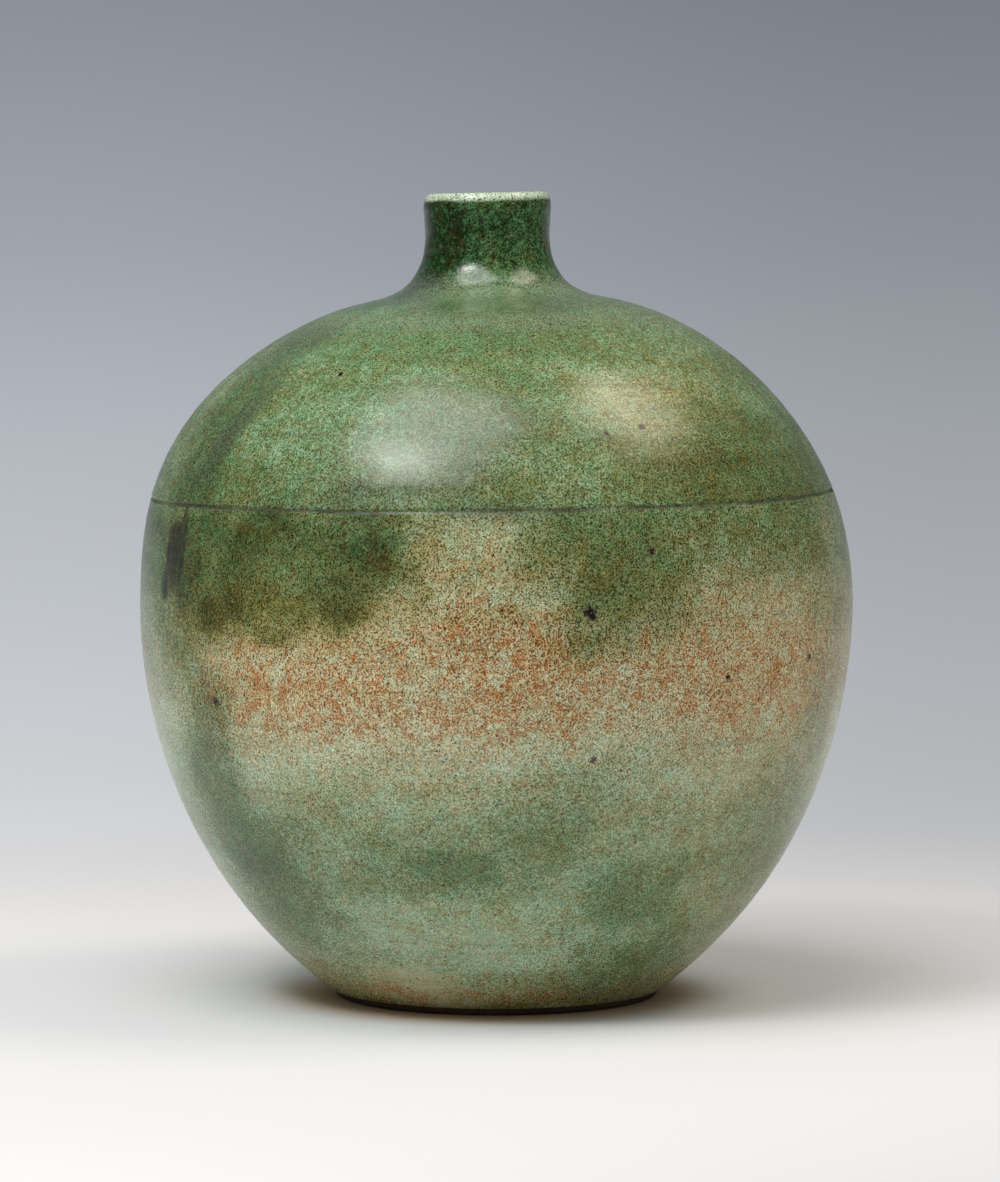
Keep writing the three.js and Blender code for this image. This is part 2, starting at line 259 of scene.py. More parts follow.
def turned(name, place, material, relief=None):
    """A closed piece turned on the wheel. The outline of its place runs up the outside and down
    the inside, and closes on itself, or starts and ends on the axis. relief lifts it, in mm."""
    points = place.points.copy()
    segments = points.shape[1]
    if relief is not None:
        along = np.gradient(place.outline, axis=0)
        along /= np.linalg.norm(along, axis=1)[:, None]
        angle = np.radians(place.azimuth)
        out_r, out_z = along[:, 1:2], -along[:, 0:1]
        points += relief[..., None] * np.stack(
            [out_r * np.sin(angle), -out_r * np.cos(angle), out_z + 0 * angle], axis=-1)
    points = np.stack(settled(points[..., 0], points[..., 1], points[..., 2]), axis=-1) * MM
    rows = len(place.outline)
    on_axis = place.outline[0, 0] == 0
    columns = np.arange(segments)
    following = (columns + 1) % segments
    if on_axis:
        kept = np.concatenate([points[0, :1], points[1:-1].reshape(-1, 3), points[-1, :1]])
        index = np.zeros((rows, segments), int)
        index[1:-1] = 1 + np.arange((rows - 2) * segments).reshape(rows - 2, segments)
        index[-1] = len(kept) - 1
        pairs = [(j, j + 1) for j in range(rows - 1)]
    else:
        kept = points.reshape(-1, 3)
        index = np.arange(rows * segments).reshape(rows, segments)
        pairs = [(j, (j + 1) % rows) for j in range(rows)]
    faces = []
    for low, high in pairs:
        corners = np.stack([
            index[low, columns], index[low, following],
            index[high, following], index[high, columns]], axis=1)
        if on_axis and low == 0:
            corners = corners[:, [0, 2, 3]]
        elif on_axis and high == rows - 1:
            corners = corners[:, [0, 1, 2]]
        faces.extend(corners.tolist())
    mesh = bpy.data.meshes.new(name)
    mesh.from_pydata(kept.tolist(), [], faces)
    mesh.validate()
    mesh.shade_smooth()
    mesh.set_sharp_from_angle(angle=math.radians(SHARP_ANGLE))
    piece = linked(name, mesh)
    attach(piece, BODY)
    piece.data.materials.append(material)
    return piece


def painted(piece, **masks):
    """Stores each mask as a number at every vertex, for the piece's material to read."""
    for name, mask in masks.items():
        layer = piece.data.attributes.new(name, "FLOAT", "POINT")
        layer.data.foreach_set("value", np.clip(mask, 0, 1).reshape(-1).astype(np.float32))


def node(tree, kind, inputs=None, **settings):
    """Adds one node with its settings. inputs gives its sockets a value or a link."""
    made = tree.nodes.new(kind)
    for name, value in settings.items():
        setattr(made, name, value)
    for key, value in (inputs or {}).items():
        if isinstance(value, bpy.types.NodeSocket):
            tree.links.new(value, made.inputs[key])
        else:
            made.inputs[key].default_value = value
    return made


def new_material(name):
    material = bpy.data.materials.new(name)
    material.use_nodes = True
    material.node_tree.nodes.clear()
    return material, material.node_tree


def fill_ramp(ramp, positions, tones):
    """Gives a colour ramp these stops."""
    stops = ramp.color_ramp.elements
    while len(stops) < len(tones):
        stops.new(0.5)
    for stop, position, tone in zip(stops, positions, tones):
        stop.position = position
        stop.color = linear(tone)


CERAMIC_IOR = 1.5

# The glaze's own colours, from bare and pale to where copper gathers. The cool line runs through
# celadon and bottle green, the warm line through buff and olive to iron brown.
COOL = ["#bccdae", "#92ac88", "#5d7f52", "#355c34", "#133013"]
WARM = ["#c9bc8e", "#a69c6b", "#74743c", "#46461e", "#221d0b"]
COPPER_STEPS = [0.0, 0.3, 0.55, 0.8, 1.0]
RUST_STAIN = "#b5793c"
RUST_FLECK = "#a8682c"
RUST_IN_GREEN = "#62521e"
VEIL = "#8c9882"
IRON_BROWN = "#33240f"
# Tone of kiln smoke and of painted shade; the level streaks use it too
SMOKE_AND_SHADE = "#454d3c"
SEAM_DARK = "#2f2b19"
SPECK_DARK = "#3a2d14"
THIN_MINT = "#b7c5aa"
PIT_DARK = "#1c1210"
PIT_RIM = "#4a3a31"

# Fields of grain in the glaze: size of a lump in mm, finer octaves, and their share. The real
# grain goes on below 0.3 mm; it stops at what a picture of the whole vase can show.
FIELDS = {
    "fine": (0.48, 1.0, 0.6),
    "crumb": (0.66, 1.0, 0.6),
    "mottle": (1.5, 2.0, 0.65),
    "cluster": (4.6, 3.0, 0.8),
    "tint": (5.0, 2.0, 0.75),
    "blotch": (6.5, 3.0, 0.6),
}
# How strongly each field stirs the copper, the warmth, the rust and the thin glaze
COPPER_GRAIN = {"fine": 0.3, "mottle": 0.5, "blotch": 0.3}
WARM_GRAIN = {"tint": 1.7, "mottle": 0.4, "blotch": 0.5}
RUST_SPREAD = {"cluster": 2.4, "blotch": 0.5}
THIN_GRAIN = {"mottle": 0.6, "fine": 0.2}
COARSE_SWING = 0.55
FIELD_MEAN = 0.5

# What a field or mask has to reach before a mark starts, when it is full, and how strong it is then
RUST_BROWNS = {"From Min": 0.25, "From Max": 0.55}
STAIN_SHOWS = {"From Min": 0.62, "From Max": 0.95, "To Max": 0.45}
FLECK_SHOWS = {"From Min": 0.58, "From Max": 0.70, "To Max": 0.85}
SPECK_SHOWS = {"From Min": 0.58, "From Max": 0.7, "To Max": 0.5}
PINHOLE_SHOWS = {"From Min": 0.17, "From Max": 0.09, "To Max": 0.85}
STREAK_SHOWS = {"From Min": 0.56, "From Max": 0.78, "To Max": 0.3}
SEAM_CRUMBLES = {"From Min": 0.3, "From Max": 0.6, "To Min": 0.55, "To Max": 1.0}
THIN_SHOWS = {"From Min": 0.25, "From Max": 0.9, "To Max": 0.93}
PIT_RIM_SHOWS = {"From Min": 0.2, "From Max": 0.5, "To Max": 0.8}
PIT_CORE_SHOWS = {"From Min": 0.5, "From Max": 0.8}

# Share of the rust mask in stain and flecks. Flecks lie along veins, the middle level of the
# mottle, and get rarer away from them.
STAIN_BY_RUST, FLECK_BY_RUST = 0.4, 0.36
FLECK_OFF_VEIN = -1.8
STREAK_LENGTH, STREAK_HEIGHT, STREAK_DETAIL = 45.0, 1.1, 2.0
PINHOLE_SPACING = 2.6
PIT_SWING, PIT_LOSS = 2.4, -0.2
PIT_OUTER, PIT_INNER = 1.7, 0.4

# The grain darkens each channel by a power of its depth, so blue falls most and a grain looks
# brown. It is measured from the mean of the fine field, and its light side is cut off.
GRAIN_DEPTH = {"Red": 0.0008, "Green": 0.0008, "Blue": 0.0001}
GRAIN_MEAN = 0.52
GRAIN_LIGHTEST = -0.042

# Roughness: satin on fine grain, glossier up the neck and at the lip, matt in the seam
SATIN = {"From Min": 0.3, "From Max": 0.7, "To Min": 0.31, "To Max": 0.22}
NECK_GLOSS = -0.10
SEAM_ROUGHNESS, LIP_ROUGHNESS = 0.85, 0.17
SKIN_STRENGTH, SKIN_DEPTH = 0.5, 0.05
MASKS = ("copper", "rust", "warm", "grain", "coarse", "veil", "smoke_and_shade", "seam", "thin", "gloss")

# Marks that stand out: azimuth, height, radius in mm, and how dark
PITS = [
    (14.6, 121.8, 1.7, 1.0),
    (25.2, 138.5, 0.9, 0.85),
    (21.6, 171.4, 0.8, 0.8),
    (29.2, 173.0, 1.1, 0.8),
    (-34.2, 188.8, 0.9, 0.9),
    (15.6, 80.0, 1.1, 0.6),
    (38.8, 101.6, 0.8, 0.8),
    (59.0, 105.0, 0.9, 0.7),
    (-50.4, 94.8, 1.3, 0.7),
]


def stirred(tree, level, fields, weights):
    """A mask with its grain added: each field swings it up and down by its own weight."""
    level = node(tree, "ShaderNodeMath", {
        0: level, 1: -FIELD_MEAN * sum(weights.values())}, operation="ADD").outputs[0]
    for name, weight in weights.items():
        level = node(tree, "ShaderNodeMath", {
            0: fields[name], 1: weight, 2: level}, operation="MULTIPLY_ADD").outputs[0]
    return level


def copper_green_glaze():
    """Copper-green glaze on stoneware: glassy, with a satin gloss that its grain breaks up, and
    colour that lies under the surface in specks, clouds and a band of rust."""
    material, tree = new_material("copper_green_glaze")
    where = node(tree, "ShaderNodeTexCoord").outputs["Object"]
    masks = {}
    for name in MASKS:
        masks[name] = node(tree, "ShaderNodeAttribute", attribute_name=name).outputs["Fac"]
    fields = {}
    for name, (size, detail, roughness) in FIELDS.items():
        fields[name] = node(tree, "ShaderNodeTexNoise", {
            "Vector": where, "Scale": 1 / (size * MM), "Detail": detail,
            "Roughness": roughness}).outputs["Fac"]
    off_mean = node(tree, "ShaderNodeMath", {
        0: fields["mottle"], 1: FIELD_MEAN}, operation="SUBTRACT").outputs[0]

    # The glaze's colour by how much copper lies there, cool or warm in patches and in grain
    copper = stirred(tree, masks["copper"], fields, COPPER_GRAIN)
    swing = node(tree, "ShaderNodeMath", {
        0: masks["coarse"], 1: COARSE_SWING}, operation="MULTIPLY").outputs[0]
    copper = node(tree, "ShaderNodeMath", {
        0: off_mean, 1: swing, 2: copper}, operation="MULTIPLY_ADD").outputs[0]
    warm = stirred(tree, masks["warm"], fields, WARM_GRAIN)
    lines = []
    for tones in (COOL, WARM):
        ramp = node(tree, "ShaderNodeValToRGB", {0: copper})
        fill_ramp(ramp, COPPER_STEPS, tones)
        lines.append(ramp.outputs["Color"])
    colour = node(tree, "ShaderNodeMix", {
        "Factor": warm, "A": lines[0], "B": lines[1]},
        data_type="RGBA", clamp_factor=True).outputs["Result"]

    # Rust: an orange stain in small clusters, and flecks on it that run together where it is
    # dense. Both are browner over copper.
    rust = stirred(tree, masks["rust"], fields, RUST_SPREAD)
    in_green = node(tree, "ShaderNodeMapRange", {"Value": copper, **RUST_BROWNS}).outputs["Result"]
    reach = node(tree, "ShaderNodeMath", {
        0: rust, 1: STAIN_BY_RUST, 2: fields["mottle"]}, operation="MULTIPLY_ADD").outputs[0]
    stain = node(tree, "ShaderNodeMapRange", {"Value": reach, **STAIN_SHOWS}).outputs["Result"]
    stain_tone, fleck_tone = (
        node(tree, "ShaderNodeMix", {
            "Factor": in_green, "A": linear(tone), "B": linear(RUST_IN_GREEN)},
            data_type="RGBA").outputs["Result"]
        for tone in (RUST_STAIN, RUST_FLECK))
    vein = node(tree, "ShaderNodeMath", {0: off_mean}, operation="ABSOLUTE").outputs[0]
    reach = node(tree, "ShaderNodeMath", {
        0: vein, 1: FLECK_OFF_VEIN, 2: fields["fine"]}, operation="MULTIPLY_ADD").outputs[0]
    reach = node(tree, "ShaderNodeMath", {
        0: rust, 1: FLECK_BY_RUST, 2: reach}, operation="MULTIPLY_ADD").outputs[0]
    fleck = node(tree, "ShaderNodeMapRange", {"Value": reach, **FLECK_SHOWS}).outputs["Result"]

    # Dark specks as fine as the grain, but not on the flecks, and fired-in iron pinholes
    speck = node(tree, "ShaderNodeMapRange", {
        "Value": fields["fine"], **SPECK_SHOWS}).outputs["Result"]
    speck = node(tree, "ShaderNodeMath", {0: speck, 1: masks["grain"]}, operation="MULTIPLY").outputs[0]
    bare = node(tree, "ShaderNodeMath", {0: 1.0, 1: fleck}, operation="SUBTRACT").outputs[0]
    speck = node(tree, "ShaderNodeMath", {0: speck, 1: bare}, operation="MULTIPLY").outputs[0]
    pinholes = node(tree, "ShaderNodeTexVoronoi", {
        "Vector": where, "Scale": 1 / (PINHOLE_SPACING * MM), "Randomness": 1.0})
    pinhole = node(tree, "ShaderNodeMapRange", {
        "Value": pinholes.outputs["Distance"], **PINHOLE_SHOWS}).outputs["Result"]

    # Faint level streaks that the wheel left
    squashed = node(tree, "ShaderNodeVectorMath", {
        0: where, 1: [1 / (STREAK_LENGTH * MM), 1 / (STREAK_LENGTH * MM), 1 / (STREAK_HEIGHT * MM)]},
        operation="MULTIPLY").outputs["Vector"]
    streak = node(tree, "ShaderNodeTexNoise", {
        "Vector": squashed, "Scale": 1.0, "Detail": STREAK_DETAIL}).outputs["Fac"]
    streak = node(tree, "ShaderNodeMapRange", {"Value": streak, **STREAK_SHOWS}).outputs["Result"]

    # The dirt in the seam, and the thin glaze on the lip
    seam = node(tree, "ShaderNodeMapRange", {
        "Value": fields["crumb"], **SEAM_CRUMBLES}).outputs["Result"]
    seam = node(tree, "ShaderNodeMath", {0: masks["seam"], 1: seam}, operation="MULTIPLY").outputs[0]
    thin = stirred(tree, masks["thin"], fields, THIN_GRAIN)
    thin = node(tree, "ShaderNodeMapRange", {"Value": thin, **THIN_SHOWS}).outputs["Result"]

    # Pits, each a dark sunk spot with a brown rim round its own centre
    nearest = None
    for azimuth, height, size, dark in PITS:
        radius = float(np.interp(height, outside.points[:, 1], outside.points[:, 0]))
        angle = math.radians(azimuth)
        centre = settled(radius * math.sin(angle), -radius * math.cos(angle), height)
        away = node(tree, "ShaderNodeVectorMath", {
            0: where, 1: [c * MM for c in centre]}, operation="DISTANCE").outputs["Value"]
        share = node(tree, "ShaderNodeMapRange", {
            "Value": away, "From Min": size * MM * PIT_OUTER, "From Max": size * MM * PIT_INNER,
            "To Max": dark}).outputs["Result"]
        nearest = share if nearest is None else node(
            tree, "ShaderNodeMath", {0: nearest, 1: share}, operation="MAXIMUM").outputs[0]
    uneven = node(tree, "ShaderNodeMath", {
        0: fields["mottle"], 1: PIT_SWING, 2: PIT_LOSS}, operation="MULTIPLY_ADD").outputs[0]
    pit = node(tree, "ShaderNodeMath", {0: uneven, 1: nearest}, operation="MULTIPLY").outputs[0]
    rim = node(tree, "ShaderNodeMapRange", {"Value": pit, **PIT_RIM_SHOWS}).outputs["Result"]
    core = node(tree, "ShaderNodeMapRange", {"Value": pit, **PIT_CORE_SHOWS}).outputs["Result"]

    # The marks lie over the glaze's colour in this order. The smoke mask carries kiln smoke and
    # also painted shade, round the seam and under the left lamp's highlight. The veil is a greyish
    # satin film where the glaze is dry, in faint level streaks.
    for share, tone in (
        (stain, stain_tone), (fleck, fleck_tone), (masks["veil"], linear(VEIL)),
        (speck, linear(SPECK_DARK)), (pinhole, linear(IRON_BROWN)), (streak, linear(SMOKE_AND_SHADE)),
        (masks["smoke_and_shade"], linear(SMOKE_AND_SHADE)), (seam, linear(SEAM_DARK)), (thin, linear(THIN_MINT)),
        (rim, linear(PIT_RIM)), (core, linear(PIT_DARK)),
    ):
        colour = node(tree, "ShaderNodeMix", {
            "Factor": share, "A": colour, "B": tone}, data_type="RGBA").outputs["Result"]

    # Dark brownish grains on a lighter ground over everything, as strong as their mask says
    power = node(tree, "ShaderNodeMath", {
        0: fields["fine"], 1: GRAIN_MEAN}, operation="SUBTRACT").outputs[0]
    power = node(tree, "ShaderNodeMath", {0: power, 1: masks["grain"]}, operation="MULTIPLY").outputs[0]
    power = node(tree, "ShaderNodeMath", {0: power, 1: GRAIN_LIGHTEST}, operation="MAXIMUM").outputs[0]
    shade = node(tree, "ShaderNodeCombineColor", {
        name: node(tree, "ShaderNodeMath", {0: depth, 1: power}, operation="POWER").outputs[0]
        for name, depth in GRAIN_DEPTH.items()}).outputs["Color"]
    colour = node(tree, "ShaderNodeMix", {
        "Factor": 1.0, "A": colour, "B": shade},
        data_type="RGBA", blend_type="MULTIPLY").outputs["Result"]

    # Surface: a grainy skin like orange peel, and the sunk pits
    skin = node(tree, "ShaderNodeMath", {
        0: fields["mottle"], 1: fields["fine"]}, operation="ADD").outputs[0]
    skin = node(tree, "ShaderNodeMath", {0: skin, 1: nearest}, operation="SUBTRACT").outputs[0]
    bump = node(tree, "ShaderNodeBump", {
        "Height": skin, "Strength": SKIN_STRENGTH, "Distance": SKIN_DEPTH * MM}).outputs["Normal"]
    rough = node(tree, "ShaderNodeMapRange", {"Value": fields["fine"], **SATIN}).outputs["Result"]
    rough = node(tree, "ShaderNodeMath", {
        0: masks["gloss"], 1: NECK_GLOSS, 2: rough}, operation="MULTIPLY_ADD").outputs[0]
    rough = node(tree, "ShaderNodeMix", {
        "Factor": seam, "A": rough, "B": SEAM_ROUGHNESS}).outputs["Result"]
    rough = node(tree, "ShaderNodeMix", {
        "Factor": thin, "A": rough, "B": LIP_ROUGHNESS}).outputs["Result"]
    shader = node(tree, "ShaderNodeBsdfPrincipled", {
        "Base Color": colour, "Roughness": rough, "IOR": CERAMIC_IOR, "Metallic": 0.0,
        "Normal": bump})
    node(tree, "ShaderNodeOutputMaterial", {"Surface": shader.outputs["BSDF"]})
    return material


# Thin glaze: its pools and their grain, as in FIELDS, and its tones from pale to pooled
POOL_FIELDS = (7, 4.0, 0.65), (0.6, 1.0, 0.6)
POOL_GRAIN = 0.5
POOL_STEPS = (0.5, 0.75, 0.95)
POOL_TONES = ("#a9b291", "#86936a", "#5c6a40")
POOL_ROUGHNESS, POOL_BUMP, POOL_DEPTH = 0.25, 0.4, 0.06


def thin_glaze():
    """The same glaze where it is thin: a glossy pale green that pools and shows the clay."""
    material, tree = new_material("thin_green_glaze")
    where = node(tree, "ShaderNodeTexCoord").outputs["Object"]
    pool, grain = (
        node(tree, "ShaderNodeTexNoise", {
            "Vector": where, "Scale": 1 / (size * MM), "Detail": detail,
            "Roughness": roughness}).outputs["Fac"]
        for size, detail, roughness in POOL_FIELDS)
    both = node(tree, "ShaderNodeMath", {
        0: grain, 1: POOL_GRAIN, 2: pool}, operation="MULTIPLY_ADD").outputs[0]
    ramp = node(tree, "ShaderNodeValToRGB", {0: both})
    fill_ramp(ramp, POOL_STEPS, POOL_TONES)
    bump = node(tree, "ShaderNodeBump", {
        "Height": both, "Strength": POOL_BUMP, "Distance": POOL_DEPTH * MM}).outputs["Normal"]
    shader = node(tree, "ShaderNodeBsdfPrincipled", {
        "Base Color": ramp.outputs["Color"], "Roughness": POOL_ROUGHNESS, "IOR": CERAMIC_IOR,
        "Normal": bump})
    node(tree, "ShaderNodeOutputMaterial", {"Surface": shader.outputs["BSDF"]})
    return material


# Bare clay: its blush and its sand, as in FIELDS, the spacing of its grog, and how they show
CLAY_FIELDS = (14, 3.0, 0.6), (0.8, 2.0, 0.6)
GROG_SPACING = 2.4
BLUSH_SHOWS = {"From Min": 0.7, "From Max": 1.3}
GROG_SHOWS = {"From Min": 0.16, "From Max": 0.08, "To Max": 0.7}
GROG_BROWN = "#54402c"
CLAY_ROUGHNESS, CLAY_BUMP, CLAY_DEPTH = 0.85, 0.6, 0.15
# Name, pale tone and dark tone of each clay
STONEWARE = ("fired_stoneware", "#c2a983", "#8d7150")
SLIP = ("fired_slip", "#cdb692", "#a98f6b")
TOASTED = ("toasted_stoneware", "#452d19", "#22150b")


def fired_clay(name, pale, dark):
    """Clay thrown and left bare: matt, slightly sandy, with grog and a toasted blush."""
    material, tree = new_material(name)
    where = node(tree, "ShaderNodeTexCoord").outputs["Object"]
    blush, sand = (
        node(tree, "ShaderNodeTexNoise", {
            "Vector": where, "Scale": 1 / (size * MM), "Detail": detail,
            "Roughness": roughness}).outputs["Fac"]
        for size, detail, roughness in CLAY_FIELDS)
    grog = node(tree, "ShaderNodeTexVoronoi", {
        "Vector": where, "Scale": 1 / (GROG_SPACING * MM)}).outputs["Distance"]
    both = node(tree, "ShaderNodeMath", {0: blush, 1: sand}, operation="ADD").outputs[0]
    share = node(tree, "ShaderNodeMapRange", {"Value": both, **BLUSH_SHOWS}).outputs["Result"]
    colour = node(tree, "ShaderNodeMix", {
        "Factor": share, "A": linear(dark), "B": linear(pale)}, data_type="RGBA").outputs["Result"]
    fleck = node(tree, "ShaderNodeMapRange", {"Value": grog, **GROG_SHOWS}).outputs["Result"]
    colour = node(tree, "ShaderNodeMix", {
        "Factor": fleck, "A": colour, "B": linear(GROG_BROWN)}, data_type="RGBA").outputs["Result"]
    height = node(tree, "ShaderNodeMath", {0: sand, 1: fleck}, operation="SUBTRACT").outputs[0]
    bump = node(tree, "ShaderNodeBump", {
        "Height": height, "Strength": CLAY_BUMP, "Distance": CLAY_DEPTH * MM}).outputs["Normal"]
    shader = node(tree, "ShaderNodeBsdfPrincipled", {
        "Base Color": colour, "Roughness": CLAY_ROUGHNESS, "IOR": CERAMIC_IOR, "Normal": bump})
    node(tree, "ShaderNodeOutputMaterial", {"Surface": shader.outputs["BSDF"]})
    return material


def outer_rows():
    """Arc lengths of the outer glaze's rows, close together at the seam and the lip."""
    return np.concatenate([
        np.arange(0, FOOT_STRIP, FOOT_STEP),
        np.arange(FOOT_STRIP, SEAM_ARC - SEAM_STRIP, BOWL_STEP),
        np.arange(SEAM_ARC - SEAM_STRIP, SEAM_ARC + SEAM_STRIP, SEAM_STEP),
        np.arange(SEAM_ARC + SEAM_STRIP, NECK_ROOT_ARC - NECK_LEAD, DOME_STEP),
        np.arange(NECK_ROOT_ARC - NECK_LEAD, LIP_ARC, NECK_STEP),
        np.linspace(LIP_ARC, outside.length, LIP_ROWS),
    ])


def back_rows():
    """Arc lengths of the rows on the clay side of the outer glaze, from the crown down. They are
    close together where the neck flares, as the coat is thin there and bends sharply."""
    waist = outside.arc_at(WAIST_HEIGHT)
    dome = NECK_ROOT_ARC - FLARE_LEAD
    return np.concatenate([
        np.linspace(outside.length, waist, BACK_NECK_ROWS)[:-1],
        np.linspace(waist, dome, BACK_FLARE_ROWS)[:-1],
        np.linspace(dome, 0, BACK_BODY_ROWS),
    ])


# How much copper the glaze holds against height, from the foot up
COPPER_BY_HEIGHT = [
    (0, 0.64), (2.5, 0.47), (6, 0.31), (14, 0.305), (30, 0.38), (48, 0.46), (62, 0.43),
    (76, 0.285), (90, 0.17), (106, 0.15), (118, 0.22), (132, 0.37), (146, 0.44), (150.3, 0.46),
    (151.3, 0.54), (165, 0.52), (178, 0.54), (192, 0.53), (203, 0.57), (207, 0.64), (210, 0.66),
    (214, 0.67), (219, 0.77), (236, 0.78), (240, 0.78),
]
# How strong the dark grain is against height
GRAIN_BY_HEIGHT = [
    (0, 0.40), (10, 0.36), (30, 0.38), (60, 0.42), (80, 0.50), (95, 0.56), (112, 0.62),
    (125, 0.76), (148, 0.78), (155, 0.70), (185, 0.62), (200, 0.46), (208, 0.42), (216, 0.75),
    (222, 1.05), (240, 1.0),
]
# How warm the glaze is against height
WARM_BY_HEIGHT = [
    (0, 1.0), (3, 0.85), (8, 0.62), (18, 0.28), (40, 0.3), (60, 0.35), (76, 0.45), (95, 0.76),
    (115, 0.80), (140, 0.62), (152, 0.40), (180, 0.32), (205, 0.25), (214, 0.2), (220, 0.14),
    (240, 0.2),
]
# How much the wide, medium and streaky noises stir the copper, and the last two the warmth. The
# grain grows with all the copper that is added.
COPPER_STIR = (0.05, 0.05, 0.045)
WARM_STIR = (0.12, 0.1)
GRAIN_PER_COPPER = 2.0

# Rust: a little everywhere, a band that wanders round the vase, a trace more over it, and less
# up the neck. A band's reach runs from where it ends to where it is full.
RUST_EVERYWHERE, RUST_STIR = 0.12, 0.08
RUST_BAND, RUST_BAND_HEIGHT, RUST_BAND_WANDER, RUST_BAND_REACH = 0.30, 103, 5, (26, 6)
RUST_OVER_BAND, OVER_BAND = 0.04, (100, 150)
RUST_LOST_UP_NECK, UP_NECK = 0.3, (200, 215)

# Heights between which the grain gets coarse, the gloss comes, and the veil comes and goes
COARSE_FROM, GLOSS_FROM = (211, 220), (204, 211)
VEIL_FROM, VEIL_UNTIL = (190, 207), (219, 212)
VEIL_MEAN, VEIL_STREAK = 0.20, 0.16

# The seam's dark line lies a little under the groove's middle. It fades in places, is darker
# at one azimuth, and has painted shade round it, in gaps.
LINE_DROP, LINE_EDGE = 0.15, (0.8, 0.25)
LINE_MEAN, LINE_SWING = 0.70, 0.5
DARKER_AZIMUTH, DARKER_REACH, DARKER = -58, (14, 4), 0.35
SEAM_SHADE_STRENGTH, SEAM_SHADE_REACH, SEAM_SHADE_GAPS = 0.35, (5, 1), (0.0, 0.7)
# A patch ends at the seam, within this far of it
SEAM_CUT = 0.6

# Where the thin glaze of the lip starts under the top, how it wanders, and how softly it starts
LIP_GLAZE_DROP, LIP_GLAZE_WANDER = 1.7, 0.7
LIP_GLAZE_BELOW, LIP_GLAZE_ABOVE = 1.5, 0.6

